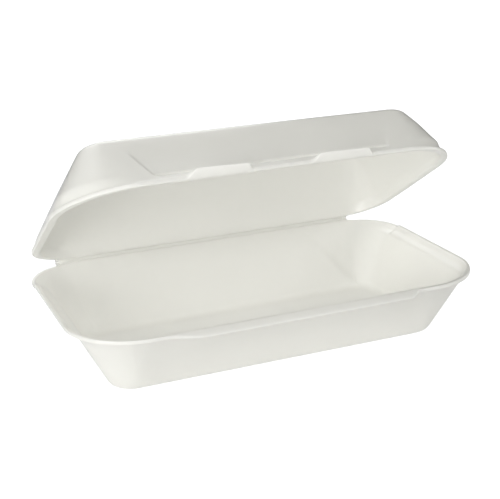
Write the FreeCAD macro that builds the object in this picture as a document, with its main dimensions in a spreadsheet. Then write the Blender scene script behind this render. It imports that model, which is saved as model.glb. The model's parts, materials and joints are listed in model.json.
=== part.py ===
import FreeCAD, Part
import math
import os
import Sketcher

# A hinged take-away box moulded from one sheet of foamed plastic, in millimetres.
# X runs along the hinge, +Y points to the back and +Z up. The origin is the middle of the tray's foot, on
# the table. Each half is drawn in a frame of its own: the hinge axis lies along X through its origin, the
# front is towards -Y and the rim lies at z = 0. The tray reaches down from its rim, the lid up from its own.
SIZES = [
    ("tray_length", 241.3),
    ("tray_reach", 140.0),
    ("tray_front_corner", 38.0),
    ("tray_back_corner", 27.0),
    ("lid_length", 235.5),
    ("lid_reach", 141.0),
    ("lid_front_corner", 43.5),
    ("lid_back_corner", 29.5),
    ("rim_thickness", 2.4),
    ("rim_overhang", 1.7),
    ("wall_across", 2.5),
    ("skin", 2.2),
    ("closing_gap", 0.3),
    ("hinge_setback", 1.8),
    ("hinge_length", 194.5),
    ("web_thickness", 1.2),
    ("lid_opening", 31.5),
    ("tray_depth", 40.2),
    ("tray_rim_land", 2.0),
    ("tray_shoulder_depth", 4.2),
    ("tray_shoulder_width", 5.3),
    ("tray_shoulder_corner", 7.0),
    ("tray_hollow_corner", 9.5),
    ("tray_end_inset", 23.8),
    ("tray_front_inset", 27.0),
    ("tray_back_inset", 28.4),
    ("tray_flat_corner", 11.5),
    ("tray_flat_edge", 9.0),
    ("ear_drop", 1.2),
    ("ear_length", 31.7),
    ("ear_width", 24.0),
    ("ear_slope", 0.8),
    ("lip_length", 146.0),
    ("lip_ramp", 14.0),
    ("lip_reach", 3.6),
    ("lip_slope", 2.3),
    ("lip_edge", 1.4),
    ("lip_root", 1.0),
    ("lip_sink", 0.3),
    ("lid_depth", 35.2),
    ("lid_rim_land", 5.0),
    ("lid_shoulder_depth", 6.0),
    ("lid_shoulder_width", 2.2),
    ("lid_shoulder_corner", 13.0),
    ("lid_hollow_corner", 10.2),
    ("lid_end_inset", 21.9),
    ("lid_front_inset", 25.8),
    ("lid_back_inset", 29.6),
    ("lid_flat_corner", 11.5),
    ("lid_flat_edge", 11.0),
    ("tab_length", 37.2),
    ("tab_spacing", 70.2),
    ("tab_ramp", 5.5),
    ("tab_reach", 4.0),
    ("tab_slope", 1.8),
    ("tab_edge", 2.2),
]

document = FreeCAD.newDocument("clamshell")
sheet = document.addObject("Spreadsheet::Sheet", "Sizes")
for row, (alias, value) in enumerate(SIZES, start=1):
    sheet.set(f"A{row}", alias)
    sheet.set(f"B{row}", str(value))
    sheet.setAlias(f"B{row}", alias)
document.recompute()

DOWN = -1
UP = 1
START, END = 1, 2
ORIGIN = (-1, 1)


def words(formula):
    """The formula with each size's name pointing at its cell in the sheet."""
    parts = formula.replace("(", " ( ").replace(")", " ) ").split()
    names = {alias for alias, size in SIZES}
    joined = " ".join(f"Sizes.{part}" if part in names else part for part in parts)
    return joined.replace("tan (", "tan(")


def value_of(formula):
    """A formula's number, used only as a sketch's first guess."""
    return sheet.evalExpression(words(formula)) if formula else 0.0


def plane(body, role):
    return next(feature for feature in body.Origin.OriginFeatures if feature.Role == role)


def new_sketch(body, name, role, offset):
    """A sketch on one of the body's own planes, moved off it by a formula."""
    sketch = body.newObject("Sketcher::SketchObject", name)
    sketch.AttachmentSupport = [(plane(body, role), "")]
    sketch.MapMode = "FlatFace"
    if offset:
        sketch.setExpression("AttachmentOffset.Base.z", words(offset))
    return sketch


def bind(sketch, constraint, name, formula):
    """Adds a constraint that has a size, names it and ties it to a formula."""
    index = sketch.addConstraint(constraint)
    sketch.renameConstraint(index, name)
    sketch.setExpression(f"Constraints.{name}", words(formula))


def rounded_outline(body, name, level, half, front, back, front_corner, back_corner):
    """A rounded rectangle seen from above. Its half length, the distances of its two edges in front of the
    hinge axis and its corner radii are formulas."""
    sketch = new_sketch(body, name, "XY_Plane", level)
    a, f, b = value_of(half), value_of(front), value_of(back)
    rf, rb = value_of(front_corner), value_of(back_corner)

    def vector(x, y):
        return FreeCAD.Vector(x, y, 0)

    def arc(x, y, radius, first):
        circle = Part.Circle(vector(x, y), FreeCAD.Vector(0, 0, 1), radius)
        return Part.ArcOfCircle(circle, first * math.pi / 2, (first + 1) * math.pi / 2)

    pieces = [
        Part.LineSegment(vector(-a + rf, -f), vector(a - rf, -f)),
        arc(a - rf, -f + rf, rf, 3),
        Part.LineSegment(vector(a, -f + rf), vector(a, -b - rb)),
        arc(a - rb, -b - rb, rb, 0),
        Part.LineSegment(vector(a - rb, -b), vector(-a + rb, -b)),
        arc(-a + rb, -b - rb, rb, 1),
        Part.LineSegment(vector(-a, -b - rb), vector(-a, -f + rf)),
        arc(-a + rf, -f + rf, rf, 2),
    ]
    sketch.addGeometry(pieces, False)
    for index in range(len(pieces)):
        following = (index + 1) % len(pieces)
        sketch.addConstraint(Sketcher.Constraint("Tangent", index, END, following, START))
    front_line, right_line, back_line, left_line = 0, 2, 4, 6
    sketch.addConstraint(Sketcher.Constraint("Horizontal", front_line))
    sketch.addConstraint(Sketcher.Constraint("Horizontal", back_line))
    sketch.addConstraint(Sketcher.Constraint("Vertical", right_line))
    sketch.addConstraint(Sketcher.Constraint("Vertical", left_line))
    sketch.addConstraint(Sketcher.Constraint("Equal", 1, 7))
    sketch.addConstraint(Sketcher.Constraint("Equal", 3, 5))
    bind(sketch, Sketcher.Constraint("Radius", 1, rf), "front_radius", front_corner)
    bind(sketch, Sketcher.Constraint("Radius", 3, rb), "back_radius", back_corner)
    bind(sketch, Sketcher.Constraint("DistanceX", *ORIGIN, right_line, START, a), "right_edge", half)
    bind(sketch, Sketcher.Constraint("DistanceX", left_line, START, *ORIGIN, a), "left_edge", half)
    bind(sketch, Sketcher.Constraint("DistanceY", front_line, START, *ORIGIN, f), "front_edge", front)
    bind(sketch, Sketcher.Constraint("DistanceY", back_line, START, *ORIGIN, b), "back_edge", back)
    return sketch


def four_sided(body, name, role, offset, corners):
    """A four-sided section; each corner is a pair of formulas, both counted from the origin."""
    sketch = new_sketch(body, name, role, offset)
    points = [FreeCAD.Vector(value_of(across), value_of(up), 0) for across, up in corners]
    for index, point in enumerate(points):
        sketch.addGeometry(Part.LineSegment(point, points[(index + 1) % 4]), False)
    for index in range(4):
        sketch.addConstraint(Sketcher.Constraint("Coincident", index, END, (index + 1) % 4, START))
    for index, (across, up) in enumerate(corners):
        for kind, formula in (("DistanceX", across), ("DistanceY", up)):
            size = value_of(formula)
            sign = "" if size >= 0 else "-"
            if size >= 0:
                constraint = Sketcher.Constraint(kind, *ORIGIN, index, START, size)
            else:
                constraint = Sketcher.Constraint(kind, index, START, *ORIGIN, -size)
            bind(sketch, constraint, f"corner_{index}_{kind[-1].lower()}", f"{sign} ( {formula} )")
    return sketch


def loft(body, kind, name, sections):
    feature = body.newObject(kind, name)
    feature.Profile = (sections[0], [""])
    feature.Sections = [(section, [""]) for section in sections[1:]]
    feature.Ruled = True
    for section in sections:
        section.Visibility = False
    document.recompute()
    return feature


def round_edges(body, name, level, radius):
    base = body.Tip
    fillet = body.newObject("PartDesign::Fillet", name)
    fillet.Base = (base, edges_at_level(base.Shape, level))
    fillet.setExpression("Radius", words(radius))
    document.recompute()
    return fillet


def edges_at_level(shape, level, tolerance=0.01):
    """Names of a shape's edges that lie in one level plane."""
    found = []
    for index, edge in enumerate(shape.Edges, start=1):
        box = edge.BoundBox
        if abs(box.ZMin - level) < tolerance and abs(box.ZMax - level) < tolerance:
            found.append(f"Edge{index}")
    return found


def lean(inset, depth):
    """How far a wall leans in for each millimetre of height, from the rim's underside to the flat end."""
    return f"( ( {inset} - rim_overhang ) / ( {depth} - closing_gap / 2 - rim_thickness ) )"


def moulded_half(body, side, half):
    """A tapered tub with a rim: outer walls from the rim over the shoulders to the flat end, and the hollow.
    Every size of its own starts with the name of its half."""
    sign = "-" if side == DOWN else ""
    length, reach, depth = f"{half}_length", f"{half}_reach", f"{half}_depth"
    front_corner, back_corner = f"{half}_front_corner", f"{half}_back_corner"
    front, back = f"{half}_front_inset", f"{half}_back_inset"
    corner, edge = f"{half}_flat_corner", f"{half}_flat_edge"
    rim_level = "closing_gap / 2"
    under_rim = "( closing_gap / 2 + rim_thickness )"
    shoulder, tighter = f"{half}_shoulder_depth", f"{half}_shoulder_corner"
    fold_level = f"( closing_gap / 2 + rim_thickness + {shoulder} )"
    front_lean, back_lean = lean(front, depth), lean(back, depth)
    fold_half = f"( {length} / 2 - rim_overhang - {half}_shoulder_width )"
    end_half = f"( {length} / 2 - {half}_end_inset )"
    end_lean = f"( ( {fold_half} - {end_half} ) / ( {depth} - {fold_level} ) )"

    def level(formula):
        return f"{sign} ( {formula} )"

    outer = [
        rounded_outline(
            body, "OuterTop", level(under_rim), f"{length} / 2 - rim_overhang", f"{reach} - rim_overhang",
            "hinge_setback + rim_overhang",
            f"{front_corner} - rim_overhang", f"{back_corner} - rim_overhang"),
        rounded_outline(
            body, "OuterFold", level(fold_level), fold_half,
            f"{reach} - rim_overhang - {front_lean} * {shoulder}",
            f"hinge_setback + rim_overhang + {back_lean} * {shoulder}",
            f"{front_corner} - {tighter}", f"{back_corner} - {tighter}"),
        rounded_outline(
            body, "OuterEnd", level(depth), end_half, f"{reach} - {front}", f"hinge_setback + {back}",
            corner, corner),
    ]
    loft(body, "PartDesign::AdditiveLoft", "OuterWalls", outer)

    rim_sketch = rounded_outline(
        body, "RimOutline", level(rim_level), f"{length} / 2", reach, "hinge_setback",
        front_corner, back_corner)
    rim = body.newObject("PartDesign::Pad", "Rim")
    rim.Profile = rim_sketch
    rim.Reversed = side == DOWN
    rim.setExpression("Length", words("rim_thickness"))
    rim_sketch.Visibility = False
    document.recompute()

    flat_level = side * value_of(depth)
    round_edges(body, "OuterEdge", flat_level, edge)

    fold_rise = f"( {fold_level} - skin )"
    floor_level = f"( {depth} - skin )"
    inner = [
        rounded_outline(
            body, "InnerTop", level(rim_level), f"{length} / 2 - {half}_rim_land",
            f"{reach} - rim_overhang + {front_lean} * rim_thickness - wall_across",
            f"hinge_setback + rim_overhang - {back_lean} * rim_thickness + wall_across",
            f"{front_corner} - wall_across", f"{back_corner} - wall_across"),
        rounded_outline(
            body, "InnerFold", level(fold_rise), f"{fold_half} + {end_lean} * skin - wall_across",
            f"{reach} - rim_overhang - {front_lean} * ( {shoulder} - skin ) - wall_across",
            f"hinge_setback + rim_overhang + {back_lean} * ( {shoulder} - skin ) + wall_across",
            f"{front_corner} - {half}_hollow_corner", f"{back_corner} - {half}_hollow_corner"),
        rounded_outline(
            body, "InnerEnd", level(floor_level), f"{end_half} + {end_lean} * skin - wall_across",
            f"{reach} - {front} + {front_lean} * skin - wall_across",
            f"hinge_setback + {back} - {back_lean} * skin + wall_across",
            f"{corner} - wall_across", f"{corner} - wall_across"),
    ]
    loft(body, "PartDesign::SubtractiveLoft", "Hollow", inner)
    round_edges(body, "InnerEdge", side * value_of(floor_level), f"{edge} - skin")


def front_lip(body, name, side, half, middle, kind):
    """A lip that leaves the front of the rim, slopes away from the other half and sinks into the rim at both
    ends. Its own sizes start with its kind."""
    sign = "-" if side == DOWN else ""
    reach, length, ramp = f"{half}_reach", f"{kind}_length", f"{kind}_ramp"
    top = f"{sign} ( closing_gap / 2 + lip_sink )"
    root_bottom = f"{sign} ( closing_gap / 2 + rim_thickness + lip_sink )"
    root = [(f"- ( {reach} - lip_root )", top), (f"- ( {reach} - rim_overhang - lip_root )", root_bottom)]
    buried = [
        (f"- ( {reach} - lip_sink )", f"{sign} ( closing_gap / 2 + rim_thickness - lip_sink )"),
        (f"- ( {reach} - lip_sink )", f"{sign} ( closing_gap / 2 + 2 * lip_sink )"),
    ]
    tip = f"- ( {reach} + {kind}_reach )"
    proud = [
        (tip, f"{sign} ( closing_gap / 2 + {kind}_slope + {kind}_edge )"),
        (tip, f"{sign} ( closing_gap / 2 + {kind}_slope )"),
    ]
    stations = [
        (f"{middle} - {length} / 2", buried),
        (f"{middle} - {length} / 2 + {ramp}", proud),
        (f"{middle} + {length} / 2 - {ramp}", proud),
        (f"{middle} + {length} / 2", buried),
    ]
    sections = [
        four_sided(body, f"{name}Section{index}", "YZ_Plane", station, root + end)
        for index, (station, end) in enumerate(stations)
    ]
    loft(body, "PartDesign::AdditiveLoft", name, sections)


def lowered_ears(body, side):
    """Lowers the top of the rim round both back corners, from a short slope on each end to the hinge."""
    sign = "-" if side == DOWN else ""
    outside = "( tray_length / 2 + ear_drop )"
    inside = "( tray_length / 2 - ear_width )"
    start = "- ( hinge_setback + ear_length )"
    for name, flip in (("RightEar", ""), ("LeftEar", "-")):
        section = four_sided(
            body, f"{name}Section", "XY_Plane", f"{sign} ( closing_gap / 2 )",
            [(f"{flip} {inside}", "0"), (f"{flip} {inside}", f"{start} + ear_slope"),
             (f"{flip} {outside}", f"{start} - ear_slope"), (f"{flip} {outside}", "0")])
        ear = body.newObject("PartDesign::Pocket", name)
        ear.Profile = section
        ear.Reversed = side == UP
        ear.setExpression("Length", words("ear_drop"))
        section.Visibility = False
        document.recompute()


def place(body, along_y, up_z, turn):
    """Puts a body's hinge-line frame into the part's frame, turned about X."""
    body.Placement = FreeCAD.Placement(FreeCAD.Vector(0, 0, 0), FreeCAD.Rotation(FreeCAD.Vector(1, 0, 0), 0))
    body.setExpression("Placement.Base.y", words(along_y))
    body.setExpression("Placement.Base.z", words(up_z))
    if turn:
        body.setExpression("Placement.Rotation.Angle", words(turn))


# The foot's middle lies this far in front of the hinge axis.
HINGE_BACK = "( tray_reach - tray_front_inset + hinge_setback + tray_back_inset ) / 2"
HINGE_UP = "tray_depth"


def make_tray():
    body = document.addObject("PartDesign::Body", "base_tray")
    body.Label = "base_tray"
    moulded_half(body, DOWN, "tray")
    front_lip(body, "FrontLip", DOWN, "tray", "0", "lip")
    lowered_ears(body, DOWN)
    place(body, HINGE_BACK, HINGE_UP, None)
    return body


def make_lid():
    body = document.addObject("PartDesign::Body", "lid")
    body.Label = "lid"
    moulded_half(body, UP, "lid")
    for name, middle in (("LeftTab", "- tab_spacing / 2"), ("RightTab", "tab_spacing / 2")):
        front_lip(body, name, UP, "lid", middle, "tab")
    place(body, HINGE_BACK, HINGE_UP, "- lid_opening")
    return body


def make_hinge():
    """The crushed strip between the two rims: part of a ring about the line where their backs would meet."""
    body = document.addObject("PartDesign::Body", "hinge_web")
    body.Label = "hinge_web"
    middle = "( hinge_setback * tan ( lid_opening * 1deg / 2 ) + closing_gap / 2 + rim_thickness / 2 )"
    inside = f"( {middle} - web_thickness / 2 )"
    outside = f"( {middle} + web_thickness / 2 )"
    half = "( hinge_length / 2 )"
    section = four_sided(
        body, "WebSection", "XY_Plane", None,
        [(f"- {half}", inside), (half, inside), (half, outside), (f"- {half}", outside)])
    web = body.newObject("PartDesign::Revolution", "Web")
    web.Profile = section
    web.ReferenceAxis = (section, ["H_Axis"])
    web.Midplane = True
    web.setExpression("Angle", words("180 - lid_opening"))
    section.Visibility = False
    place(
        body, f"{HINGE_BACK} - hinge_setback",
        "tray_depth + hinge_setback * tan ( lid_opening * 1deg / 2 )", "- lid_opening / 2")
    return body


def check(pieces):
    for item in document.Objects:
        if "Invalid" in item.State or "Error" in item.State:
            raise RuntimeError(f"{item.Name} did not rebuild: {item.State}")
    for piece in pieces:
        shape = piece.Shape
        if shape.isNull() or not shape.isValid() or len(shape.Solids) != 1:
            raise RuntimeError(f"{piece.Label} is not one sound solid")


pieces = [make_tray(), make_lid(), make_hinge()]
document.recompute()
check(pieces)
os.makedirs("parts", exist_ok=True)
for piece in pieces:
    piece.Shape.exportStep(f"parts/{piece.Label}.step")
    box = piece.Shape.BoundBox
    print(piece.Label, "volume", round(piece.Shape.Volume), "faces", len(piece.Shape.Faces))
    print("  x", round(box.XMin, 2), round(box.XMax, 2), "y", round(box.YMin, 2), round(box.YMax, 2),
          "z", round(box.ZMin, 2), round(box.ZMax, 2))
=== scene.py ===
import json
import math

import bmesh
import bpy
import numpy as np
from mathutils import Matrix, Vector


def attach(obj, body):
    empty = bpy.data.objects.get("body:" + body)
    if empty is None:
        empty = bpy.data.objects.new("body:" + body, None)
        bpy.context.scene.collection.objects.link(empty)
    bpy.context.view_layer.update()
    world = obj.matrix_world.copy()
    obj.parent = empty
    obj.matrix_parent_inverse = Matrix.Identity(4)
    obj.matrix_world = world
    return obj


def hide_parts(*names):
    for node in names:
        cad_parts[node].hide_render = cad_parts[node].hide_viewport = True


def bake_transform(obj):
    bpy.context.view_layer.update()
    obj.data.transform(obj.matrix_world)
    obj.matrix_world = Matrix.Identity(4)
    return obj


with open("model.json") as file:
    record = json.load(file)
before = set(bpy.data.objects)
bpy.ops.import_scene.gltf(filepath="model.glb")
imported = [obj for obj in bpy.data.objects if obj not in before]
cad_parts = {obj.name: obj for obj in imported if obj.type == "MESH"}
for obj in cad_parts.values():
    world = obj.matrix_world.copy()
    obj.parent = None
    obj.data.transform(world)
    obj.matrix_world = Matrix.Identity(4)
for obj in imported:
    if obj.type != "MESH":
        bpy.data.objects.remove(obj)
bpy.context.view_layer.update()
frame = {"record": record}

# Lengths are in millimetres as far as the materials, and in metres after that. Each half is drawn in a frame
# of its own: the hinge axis lies along X, the front is towards -Y, the rim is near z = 0, and the half
# reaches up from it by its depth. The tray is then turned upside down.
MM = 0.001
JOINT = frame["record"]["behaviour"]["joints"][0]
HINGE = Vector(JOINT["pos_m"])
OPENING = math.radians(-JOINT["range_deg"][0])

HALF_GAP = 0.15  # from a rim's face to the plane where the rims meet
RIM = 2.4  # thickness of the rim
OVERHANG = 1.7  # from the wall out to the rim's edge
WALL = 2.5  # thickness of the walls, measured level
SKIN = 2.2  # thickness of the flat end
SETBACK = 1.8  # from the hinge axis to the back edge of the rims
BEAD = 0.9  # width of the rounded bead at the rim's edge
LIP_BEAD_CUT = 0.3  # how much narrower the bead is on a lip
LEDGE_SHARE = 0.6  # how far up the inside of the shoulder the ledge lies
CORNER_SLACK = 0.2  # least straight length left beside a corner

# Rings on the flat end: how far they lie in from its edge, and their corner radius.
OUTSIDE_RINGS = ((34, 1.0), (13, 5.0))
INSIDE_RINGS = ((12, 4.0), (31, 1.0))

# The insets are those of the flat end, counted from the rim's edge.
TRAY = {
    "length": 241.3, "reach": 140.0, "depth": 40.2, "front_corner": 38.0, "back_corner": 27.0,
    "end_inset": 23.8, "front_inset": 27.0, "back_inset": 28.4, "flat_corner": 11.5, "edge": 9.0,
    "shoulder": 5.3, "shoulder_depth": 4.2, "shoulder_corner": 7.0, "land": 2.0, "ledge": 4.0,
    "ledge_corner": 4.5, "inner_corner": 9.5,
    "lips": [{"left": -78.0, "right": 71.0, "left_ramp": 24.0, "right_ramp": 6.0, "rise": 0.0}],
    "lip_reach": 3.5, "lip_slope": 2.2, "lip_edge": 1.4,
}
LID = {
    "length": 235.5, "reach": 141.0, "depth": 35.2, "front_corner": 43.5, "back_corner": 29.5,
    "end_inset": 21.9, "front_inset": 25.8, "back_inset": 29.6, "flat_corner": 11.5, "edge": 11.0,
    "shoulder": 2.2, "shoulder_depth": 6.0, "shoulder_corner": 13.0, "land": 5.0, "ledge": 5.4,
    "ledge_corner": 7.6, "inner_corner": 10.2,
    "lips": [
        {"left": -53.6, "right": -16.6, "left_ramp": 7.0, "right_ramp": 3.4, "rise": 1.4},
        {"left": 16.6, "right": 53.6, "left_ramp": 7.0, "right_ramp": 3.4, "rise": 0.8},
    ],
    "lip_reach": 3.9, "lip_slope": 2.8, "lip_edge": 1.1,
}

# The flat panel in one long wall of each half. MIDDLE parts the front of a half from its back.
MIDDLE = -75.0
TRAY_PANEL = {"side": (67.0, 86.5), "height": (6.0, 31.5), "fade": (31.5, 40.5), "step": 11.0}
TRAY_PANEL_DEPTH = 1.5
LID_PANEL = {
    "side": (67.5, 77.0), "height": (4.9, 25.0), "fade": (17.0, 28.0), "step": 1.0,
    "soft": 1.4, "corner": 2.5,
}
LID_PANEL_DEPTH = 1.3
LID_PANEL_EASE = 0.8  # how much less its right part is set in
LID_PANEL_EASED = (20, 60)  # along X, where that starts and is complete

# The fold under the lid's panel, on the outside only.
FOLD_HEIGHT, FOLD_WIDTH, FOLD_DEPTH, FOLD_ENDS = 6.0, 0.6, 1.1, (66, 68)

# The back corners of the tray's rim hang down a little: how far, and where that starts and is complete.
EAR_DROP = 1.2
EAR_ALONG, EAR_ACROSS, EAR_HEIGHT = (88, 104), (-31.7, -30.1), (2, 16)

# The lid's warp: its front sags sideways, more at the rim and most at the right shoulder, it is twisted, and
# its right front drops. Each pair of limits says where a part of that starts and is complete.
SAG, RIM_SAG, SHOULDER_SAG = 0.65, 0.6, 2.0
SAG_ACROSS = (5, 35)
SHOULDER_UP, SHOULDER_DOWN, SHOULDER_ALONG = (1, 7), (9, 25), (0, 60)
TWIST, TWIST_REACH = 0.5, 118
FRONT_DROP, FRONT_DROP_ALONG, FRONT_DROP_ACROSS = 0.25, (30, 110), (20, 60)

# The hinge strip.
WEB_LEFT, WEB_RIGHT = -98.9, 93.6
WEB_OUT = 0.6  # how far its back stands out past the rims' middle
WEB_RIPPLE = 0.3  # depth of the waves in its back
WEB_FILL = 4.3  # how far forward from the hinge axis it fills the corner between the rims
WEB_SINK = 0.12  # how much less it fills half way between them
WEB_SCORE, WEB_SCORE_WIDTH, WEB_SCORE_DEPTH = 0.1, 0.08, 0.45
WEB_HOLLOW = 2.4  # depth of the hollow at its ends
WEB_END = 1.3  # length over which its ends are rounded
WEB_TIP = 0.1  # share of its thickness that is left at the very end
WEB_STATIONS = 161
WEB_TURNS = 33

FRONT_STEPS = 220
BACK_STEPS = 120
END_STEPS = 50
FRONT_CORNER_STEPS = 40
BACK_CORNER_STEPS = 32


def smooth(t):
    """Rises from 0 to 1 while t does, with level ends."""
    t = np.clip(t, 0.0, 1.0)
    return t * t * (3.0 - 2.0 * t)


def between(value, limits):
    """Rises smoothly from 0 to 1 while value goes from the first limit to the second."""
    return smooth((value - limits[0]) / (limits[1] - limits[0]))


def flat_ring(edge, height, inset, corner):
    """The place of a profile point on the flat end, inset from its edge."""
    return (*(value + inset for value in edge), height, corner, corner)


def control_profile(half, lip):
    """The sheet's section, from the outside of the flat end, round the rim, to the inside of the flat end.

    Each point holds four things. The first is its insets at the ends, front and back, its height above the
    rim plane, and its front and back corner radii. The second is how much of the stretches before and after
    it the rounding of the point takes, in parts of each stretch. The last two are the steps of that rounding
    and the spans of the stretch after it. lip is 1 where a lip or tab stands at its full reach, and 0 where
    there is none.
    """
    depth, shoulder, rise = half["depth"], half["shoulder"], half["shoulder_depth"]
    under = HALF_GAP + RIM
    front_lean = (half["front_inset"] - OVERHANG) / (depth - under)
    back_lean = (half["back_inset"] - OVERHANG) / (depth - under)
    fold = under + rise
    end_lean = (half["end_inset"] - OVERHANG - shoulder) / (depth - fold)
    rf, rb, flat = half["front_corner"], half["back_corner"], half["flat_corner"]
    ends = (half["end_inset"], half["front_inset"], half["back_inset"])
    inner_cut = WALL - SKIN * end_lean, WALL - SKIN * front_lean, WALL - SKIN * back_lean
    inner_ends = tuple(inset + cut for inset, cut in zip(ends, inner_cut))
    inner_depth = depth - SKIN
    reach = lip * half["lip_reach"]
    face_drop = lip * half["lip_slope"]
    under_drop = lip * (half["lip_slope"] + half["lip_edge"] - RIM)
    fold_in = rise - SKIN
    ledge = HALF_GAP + LEDGE_SHARE * (fold - SKIN - HALF_GAP)
    tighter = half["shoulder_corner"]

    def inside(end, rise_in, height, narrower):
        """A point on the inside, at the given inset at the ends and on the long walls' lines elsewhere."""
        return (end, OVERHANG + front_lean * rise_in + WALL, OVERHANG + back_lean * rise_in + WALL, height,
                rf - narrower, rb - narrower)

    wall = math.hypot(half["end_inset"] - OVERHANG, depth - under)
    turn = math.tan((math.pi / 2 - math.atan(end_lean)) / 2)
    outer_tangent = half["edge"] * turn
    inner_tangent = (half["edge"] - SKIN) * turn
    return [
        (flat_ring(ends, depth, *OUTSIDE_RINGS[0]), (0, 0), 0, 3),
        (flat_ring(ends, depth, *OUTSIDE_RINGS[1]), (0, 0), 0, 3),
        ((*ends, depth, flat, flat), (outer_tangent / OUTSIDE_RINGS[1][0], outer_tangent / wall), 12, 10),
        ((OVERHANG + shoulder, OVERHANG + front_lean * rise, OVERHANG + back_lean * rise, fold,
          rf - tighter, rb - tighter), (0.05, 0.35), 6, 10),
        ((OVERHANG, OVERHANG, OVERHANG, under, rf - OVERHANG, rb - OVERHANG), (0.25, 0.35), 4, 2),
        ((0.0, -reach, 0.0, under + under_drop, rf, rb), (0.45, 0.42), 7, 1),
        ((0.0, -reach, 0.0, HALF_GAP + face_drop, rf, rb), (0.42, 0.5), 7, 1),
        ((BEAD, BEAD - LIP_BEAD_CUT * lip, BEAD, HALF_GAP, rf - BEAD, rb - BEAD), (0.3, 0.3), 4, 1),
        (inside(half["land"], -RIM, HALF_GAP, WALL), (0.35, 0.3), 6, 2),
        (inside(half["ledge"], ledge - under, ledge, half["ledge_corner"]), (0.25, 0.35), 5, 2),
        (inside(OVERHANG + shoulder + inner_cut[0], fold_in, fold - SKIN, half["inner_corner"]),
         (0.35, 0.04), 6, 10),
        ((*inner_ends, inner_depth, flat - WALL, flat - WALL),
         (inner_tangent / wall, inner_tangent / INSIDE_RINGS[0][0]), 12, 3),
        (flat_ring(inner_ends, inner_depth, *INSIDE_RINGS[0]), (0, 0), 0, 3),
        (flat_ring(inner_ends, inner_depth, *INSIDE_RINGS[1]), (0, 0), 0, 0),
    ]


def rounded(points):
    """The rings of a profile: its points rounded off, and the stretches between them cut into spans."""
    rows = [np.array(point[0]) for point in points]
    rings = []
    last = len(points) - 1
    for index, (_, shares, steps, spans) in enumerate(points):
        row, previous, following = rows[index], rows[max(index - 1, 0)], rows[min(index + 1, last)]
        before = row + (previous - row) * shares[0]
        after = row + (following - row) * shares[1]
        if steps:
            for t in np.linspace(0.0, 1.0, steps + 1):
                rings.append((1 - t) ** 2 * before + 2 * t * (1 - t) * row + t * t * after)
        else:
            rings.append(row)
        if index < last:
            start = rings[-1]
            end = following + (row - following) * points[index + 1][1][0]
            for step in range(1, spans):
                rings.append(start + (end - start) * step / spans)
    return np.array(rings)


def lip_shape(x, lips):
    """Two tables along the front.

    The first is 1 where a lip stands at its full reach, and falls to 0 at the ends of its ramps. The second
    is how much a lip is lifted, from its own rise at its left end to 0 at its right end.
    """
    weight = np.zeros_like(x)
    lift = np.zeros_like(x)
    for lip in lips:
        from_left = x - lip["left"]
        from_right = lip["right"] - x
        own = smooth(np.minimum(from_left / lip["left_ramp"], from_right / lip["right_ramp"]))
        weight = np.maximum(weight, own)
        lift += own * lip["rise"] * np.clip(from_right / (lip["right"] - lip["left"]), 0, 1)
    return weight, lift


def half_grid(half):
    """Points of one half as (rings, stations, 3). The stations run round from the left end of the front."""
    plain = rounded(control_profile(half, 0.0))
    lipped = rounded(control_profile(half, 1.0))
    end_inset, front_inset, back_inset, z, rf, rb = (plain[:, column][:, None] for column in range(6))
    # How far each ring reaches: from its middle to its ends, and from the hinge axis to its front and back.
    a, f, b = half["length"] / 2 - end_inset, half["reach"] - front_inset, SETBACK + back_inset
    rf = np.minimum(rf, np.minimum(a, (f - b) / 2) - CORNER_SLACK)
    rb = np.minimum(rb, np.minimum(a, (f - b) / 2) - CORNER_SLACK)

    def side(start_x, end_x, start_y, end_y, count):
        """A straight side from one corner to the next."""
        share = np.arange(count)[None, :] / count
        return start_x + (end_x - start_x) * share, start_y + (end_y - start_y) * share, z + 0 * share

    def corner(centre_x, centre_y, radius, start, count):
        """A quarter turn about a corner's centre. start is in quarter turns from +X."""
        angle = math.pi / 2 * (start + np.arange(count)[None, :] / count)
        return centre_x + radius * np.cos(angle), centre_y + radius * np.sin(angle), z + 0 * angle

    front_x, front_y = a - rf, -(f - rf)
    back_x, back_y = a - rb, -(b + rb)
    front = side(-front_x, front_x, -f, -f, FRONT_STEPS)
    weight, rise = lip_shape(front[0], half["lips"])
    proud = np.clip(-(lipped - plain)[:, 1][:, None] / half["lip_reach"], 0, 1)
    shift = (lipped - plain)[:, 1][:, None] * weight
    lift = (lipped - plain)[:, 3][:, None] * weight + proud * rise
    parts = (
        (front[0], front[1] + shift, front[2] + lift),
        corner(front_x, front_y, rf, -1, FRONT_CORNER_STEPS),
        side(a, a, front_y, back_y, END_STEPS),
        corner(back_x, back_y, rb, 0, BACK_CORNER_STEPS),
        side(back_x, -back_x, -b, -b, BACK_STEPS),
        corner(-back_x, back_y, rb, 1, BACK_CORNER_STEPS),
        side(-a, -a, back_y, front_y, END_STEPS),
        corner(-front_x, front_y, rf, 2, FRONT_CORNER_STEPS),
    )
    return np.stack([np.concatenate([part[axis] for part in parts], axis=1) for axis in range(3)], axis=2)


def panel(x, z, side, height, fade, step, soft=1.5, corner=5.0):
    """How far a long wall's flat panel is set in, from 0 to 1.

    side and height hold the panel's half width and its distance from the rim at two points of its slanting
    side, and fade holds where it dies out towards the flat end. step is how long the step at its rim edge is,
    soft the same for its sides, and corner is the radius of the corners between them.
    """
    slope = (side[1] - side[0]) / (height[1] - height[0])
    from_side = side[0] + slope * (z - height[0]) - np.abs(x)
    from_rim = (z - height[0]) * soft / step
    beyond = np.hypot(np.maximum(corner - from_side, 0), np.maximum(corner - from_rim, 0))
    in_corner = (from_side < corner) & (from_rim < corner)
    depth_in = np.where(in_corner, corner - beyond, np.minimum(from_side, from_rim))
    return smooth(depth_in / soft + 0.5) * (1 - between(z, fade))


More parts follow.
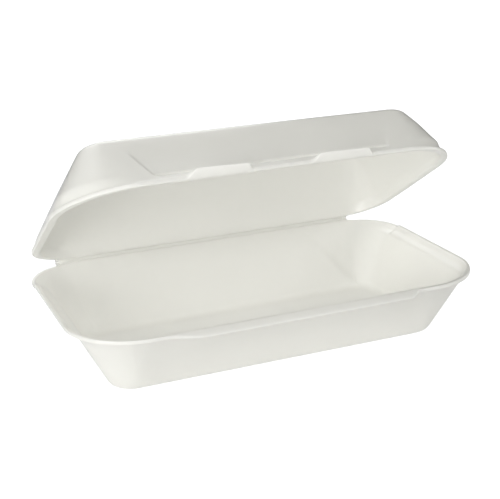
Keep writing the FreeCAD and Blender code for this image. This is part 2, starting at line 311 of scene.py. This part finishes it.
def make_mesh(name, grid, place):
    """A closed sheet from a grid of rings and stations, with its normals outward.

    Both ends are filled, and these two faces are flat-shaded.
    """
    rings, stations = grid.shape[:2]
    points = [place @ Vector(point) for point in grid.reshape(-1, 3)]
    faces = []
    for ring in range(rings - 1):
        for station in range(stations):
            following = (station + 1) % stations
            faces.append((
                ring * stations + station, ring * stations + following,
                (ring + 1) * stations + following, (ring + 1) * stations + station))
    faces.append(tuple(reversed(range(stations))))
    faces.append(tuple(range((rings - 1) * stations, rings * stations)))
    mesh = bpy.data.meshes.new(name)
    mesh.from_pydata(points, [], faces)
    mesh.validate()
    closed = bmesh.new()
    closed.from_mesh(mesh)
    bmesh.ops.recalc_face_normals(closed, faces=closed.faces)
    closed.to_mesh(mesh)
    closed.free()
    for polygon in mesh.polygons:
        polygon.use_smooth = len(polygon.vertices) == 4
    mesh.update()
    piece = bpy.data.objects.new(name, mesh)
    bpy.context.scene.collection.objects.link(piece)
    return piece


def shaped_tray():
    """The tray with its back wall's panel set in and the back corners of its rim lowered."""
    grid = half_grid(TRAY)
    x, y, z = (grid[..., axis].copy() for axis in range(3))
    grid[..., 1] -= TRAY_PANEL_DEPTH * panel(x, z, **TRAY_PANEL) * (y > MIDDLE)
    ear = between(np.abs(x), EAR_ALONG) * between(y, EAR_ACROSS) * (1 - between(z, EAR_HEIGHT))
    grid[..., 2] += EAR_DROP * ear
    return grid


def shaped_lid():
    """The lid with its front wall's panel and the fold under it, and with the sag and twist of a soft box."""
    grid = half_grid(LID)
    x, y, z = (grid[..., axis].copy() for axis in range(3))
    outside = (np.arange(len(z)) < len(z) / 2)[:, None]
    in_front = y < MIDDLE
    set_in = panel(x, z, **LID_PANEL) * in_front
    line = np.exp(-((z - FOLD_HEIGHT) / FOLD_WIDTH) ** 2) * (1 - between(np.abs(x), FOLD_ENDS))
    panel_depth = LID_PANEL_DEPTH - LID_PANEL_EASE * between(x, LID_PANEL_EASED)
    grid[..., 1] += panel_depth * set_in + FOLD_DEPTH * line * in_front * outside
    shoulder = between(z, SHOULDER_UP) * (1 - between(z, SHOULDER_DOWN)) * between(x, SHOULDER_ALONG)
    height = z / LID["depth"]
    grid[..., 0] -= (SAG + RIM_SAG * (1 - height) + SHOULDER_SAG * shoulder) * between(-y, SAG_ACROSS)
    front_drop = FRONT_DROP * between(x, FRONT_DROP_ALONG) * between(-y, FRONT_DROP_ACROSS)
    grid[..., 2] -= TWIST * x / TWIST_REACH * height + front_drop
    return grid


def web_grid():
    """The crushed strip: a thin arc behind the rims, filled forwards between them.

    It has a score line along each rim. Its ends are hollowed, so the slots between the corners of the two
    halves end round, and their edges are rounded too.
    """
    centre_y, centre_z = -SETBACK, SETBACK * math.tan(OPENING / 2)
    turns = np.linspace(0.0, 1.0, WEB_TURNS)
    start, end = -math.pi / 2, math.pi / 2 - OPENING
    angles = start + (end - start) * turns
    radius = centre_z + HALF_GAP + RIM / 2 + WEB_OUT - WEB_RIPPLE * np.sin(3 * math.pi * turns) ** 2
    back = np.stack([centre_y + radius * np.cos(angles), centre_z + radius * np.sin(angles)], axis=1)
    scores = sum(np.exp(-((share - WEB_SCORE) / WEB_SCORE_WIDTH) ** 2) for share in (turns, 1 - turns))
    reach = WEB_FILL - WEB_SINK * np.sin(math.pi * turns) - WEB_SCORE_DEPTH * scores
    front = np.stack([-reach * np.cos(OPENING * turns), reach * np.sin(OPENING * turns)], axis=1)[::-1]
    section = np.concatenate([back, front])
    hollow = WEB_HOLLOW * (1 - np.sqrt(1 - (2 * np.concatenate([turns, turns[::-1]]) - 1) ** 2))
    along = 0.5 - 0.5 * np.cos(np.linspace(0.0, math.pi, WEB_STATIONS))[:, None]
    from_end = np.minimum(along, 1 - along) * (WEB_RIGHT - WEB_LEFT)
    closing = 1 - np.clip(from_end / WEB_END, 0, 1)
    full = np.maximum(np.sqrt(1 - closing ** 2), WEB_TIP)[..., None]
    middle = section.mean(axis=0)
    grid = np.zeros((WEB_STATIONS, len(section), 3))
    grid[..., 0] = (WEB_LEFT - hollow) * (1 - along) + (WEB_RIGHT + hollow) * along
    grid[..., 1:] = middle + (section - middle)[None, :, :] * full
    return grid


to_tray = Matrix.Translation(HINGE) @ Matrix.Diagonal((MM, MM, -MM, 1.0))
to_lid = Matrix.Translation(HINGE) @ Matrix.Rotation(-OPENING, 4, "X") @ Matrix.Scale(MM, 4)
to_web = Matrix.Translation(HINGE) @ Matrix.Scale(MM, 4)

tray = make_mesh("foam_tray", shaped_tray()[:, ::-1], to_tray)
lid = make_mesh("foam_lid", shaped_lid(), to_lid)
web = make_mesh("hinge_strip", web_grid(), to_web)


# Materials. From here on, lengths are in metres.


def node_tools(owner):
    """Empties a material's or world's nodes, and gives back functions that add a node and join sockets."""
    owner.use_nodes = True
    tree = owner.node_tree
    tree.nodes.clear()

    def node(kind, inputs=None, **properties):
        made = tree.nodes.new(kind)
        for key, value in properties.items():
            setattr(made, key, value)
        for key, value in (inputs or {}).items():
            made.inputs[key].default_value = value
        return made

    def join(source, output, target, socket):
        tree.links.new(source.outputs[output], target.inputs[socket])

    return node, join


def foam_material():
    """White foam: matt, lets some light through, and has a faint gloss where it is seen at a low angle."""
    material = bpy.data.materials.new("foam")
    node, join = node_tools(material)

    output = node("ShaderNodeOutputMaterial")
    matte = node("ShaderNodeBsdfPrincipled", {"Roughness": 0.6, "Specular IOR Level": 0.0})
    through = node("ShaderNodeBsdfTranslucent")
    body = node("ShaderNodeMixShader", {"Fac": 0.45})
    skin = node("ShaderNodeBsdfGlossy", {"Roughness": 0.3, "Color": (0.9, 0.9, 0.9, 1)})
    edge = node("ShaderNodeFresnel", {"IOR": 1.4})
    facing = node("ShaderNodeNewGeometry")
    outward = node("ShaderNodeMath", {0: 1.0}, operation="SUBTRACT")
    outward_edge = node("ShaderNodeMath", operation="MULTIPLY")
    mix = node("ShaderNodeMixShader")
    join(matte, "BSDF", body, 1)
    join(through, "BSDF", body, 2)
    join(facing, "Backfacing", outward, 1)
    join(edge, "Fac", outward_edge, 0)
    join(outward, "Value", outward_edge, 1)
    join(outward_edge, "Value", mix, "Fac")
    join(body, "Shader", mix, 1)
    join(skin, "BSDF", mix, 2)
    join(mix, "Shader", output, "Surface")

    coordinates = node("ShaderNodeTexCoord")
    clouds = node("ShaderNodeTexNoise", {"Scale": 45.0, "Detail": 4.0, "Roughness": 0.55})
    tint = node("ShaderNodeValToRGB")
    stops = ((0.3, (0.968, 0.965, 0.934, 1)), (0.7, (0.985, 0.982, 0.951, 1)))
    for element, (position, color) in zip(tint.color_ramp.elements, stops):
        element.position, element.color = position, color
    join(coordinates, "Object", clouds, "Vector")
    join(clouds, "Fac", tint, "Fac")
    join(tint, "Color", matte, "Base Color")
    join(tint, "Color", through, "Color")

    cells = node("ShaderNodeTexVoronoi", {"Scale": 650.0})
    ripple = node("ShaderNodeTexNoise", {"Scale": 120.0, "Detail": 3.0})
    fine = node("ShaderNodeBump", {"Strength": 0.12, "Distance": 0.0002})
    coarse = node("ShaderNodeBump", {"Strength": 0.10, "Distance": 0.0012})
    join(coordinates, "Object", cells, "Vector")
    join(coordinates, "Object", ripple, "Vector")
    join(cells, "Distance", fine, "Height")
    join(ripple, "Fac", coarse, "Height")
    join(fine, "Normal", coarse, "Normal")
    join(coarse, "Normal", matte, "Normal")
    join(coarse, "Normal", skin, "Normal")
    return material


foam = foam_material()
for piece, node_name in ((tray, "base_tray"), (lid, "lid"), (web, "hinge_web")):
    piece.data.materials.append(foam)
    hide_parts(node_name)

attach(tray, "base")
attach(lid, "lid")
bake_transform(web)


# Stage, light and camera


WHITE = (1, 1, 1, 1)
FLOOR_REACH = 0.9
FLOOR_COLOR = (0.80, 0.80, 0.80, 1)
FLOOR_GLOW_SEEN, FLOOR_GLOW_CAST = 0.75, 0.20
WORLD_SEEN, WORLD_CAST = 1.1, 0.02

LIGHT_AIM = (0, 0, 0.05)
LIGHTS = (
    # name, watts, width and height, place
    ("left_front", 9.9, (0.8, 0.6), (-0.95, -0.80, 0.30)),
    ("front_high", 5.2, (0.6, 0.5), (-0.38, -0.93, 0.85)),
    ("right", 5.1, (0.8, 0.6), (1.15, -0.25, 0.30)),
    ("back_high", 7.7, (0.9, 0.7), (0.0, 0.9, 0.8)),
)

# The camera fitted to the photograph's proportions, with its sensor and lens in millimetres.
CAMERA_SENSOR = 36.0
CAMERA_LENS = 80.2
CAMERA_PLACE = (-0.229801, -0.566246, 0.258295)
CAMERA_RIGHT = (0.92342, -0.382607, -0.030134)
CAMERA_UP = (0.147822, 0.28211, 0.947926)


def area_light(name, energy, size, place):
    """A rectangular lamp that points at the box."""
    light = bpy.data.lights.new(name, "AREA")
    light.shape = "RECTANGLE"
    light.size, light.size_y = size
    light.energy = energy
    lamp = bpy.data.objects.new(name, light)
    lamp.location = place
    lamp.rotation_euler = (Vector(LIGHT_AIM) - Vector(place)).to_track_quat("-Z", "Y").to_euler()
    bpy.context.scene.collection.objects.link(lamp)


def make_floor():
    """A pale floor that glows more for the camera than for the box, so it is white and keeps the shadow."""
    mesh = bpy.data.meshes.new("floor")
    corners = [(x * FLOOR_REACH, y * FLOOR_REACH, 0) for x, y in ((-1, -1), (1, -1), (1, 1), (-1, 1))]
    mesh.from_pydata(corners, [], [(0, 1, 2, 3)])
    floor = bpy.data.objects.new("floor", mesh)
    bpy.context.scene.collection.objects.link(floor)
    material = bpy.data.materials.new("floor")
    node, join = node_tools(material)
    output = node("ShaderNodeOutputMaterial")
    matte = node("ShaderNodeBsdfDiffuse", {"Color": FLOOR_COLOR})
    glow = node("ShaderNodeEmission", {"Color": WHITE})
    path = node("ShaderNodeLightPath")
    strength = node("ShaderNodeMapRange", {"To Min": FLOOR_GLOW_CAST, "To Max": FLOOR_GLOW_SEEN})
    both = node("ShaderNodeAddShader")
    join(path, "Is Camera Ray", strength, "Value")
    join(strength, "Result", glow, "Strength")
    join(matte, "BSDF", both, 0)
    join(glow, "Emission", both, 1)
    join(both, "Shader", output, "Surface")
    mesh.materials.append(material)


def make_world():
    """A white world for the camera, which hardly lights the box."""
    world = bpy.data.worlds.new("studio")
    bpy.context.scene.world = world
    node, join = node_tools(world)
    output = node("ShaderNodeOutputWorld")
    seen = node("ShaderNodeBackground", {"Color": WHITE, "Strength": WORLD_SEEN})
    cast = node("ShaderNodeBackground", {"Color": WHITE, "Strength": WORLD_CAST})
    path = node("ShaderNodeLightPath")
    mix = node("ShaderNodeMixShader")
    join(path, "Is Camera Ray", mix, "Fac")
    join(cast, "Background", mix, 1)
    join(seen, "Background", mix, 2)
    join(mix, "Shader", output, "Surface")


def make_camera():
    """The camera, looking along the way that is at right angles to its right and up."""
    data = bpy.data.cameras.new("camera")
    data.sensor_fit = "HORIZONTAL"
    data.sensor_width = CAMERA_SENSOR
    data.lens = CAMERA_LENS
    camera = bpy.data.objects.new("camera", data)
    right = Vector(CAMERA_RIGHT).normalized()
    up = Vector(CAMERA_UP).normalized()
    back = right.cross(up).normalized()
    turn = Matrix((right, up, back)).transposed().to_4x4()
    camera.matrix_world = Matrix.Translation(CAMERA_PLACE) @ turn
    bpy.context.scene.collection.objects.link(camera)
    bpy.context.scene.camera = camera


make_floor()
make_world()
for light_values in LIGHTS:
    area_light(*light_values)
make_camera()
bpy.context.scene.view_settings.view_transform = "Standard"
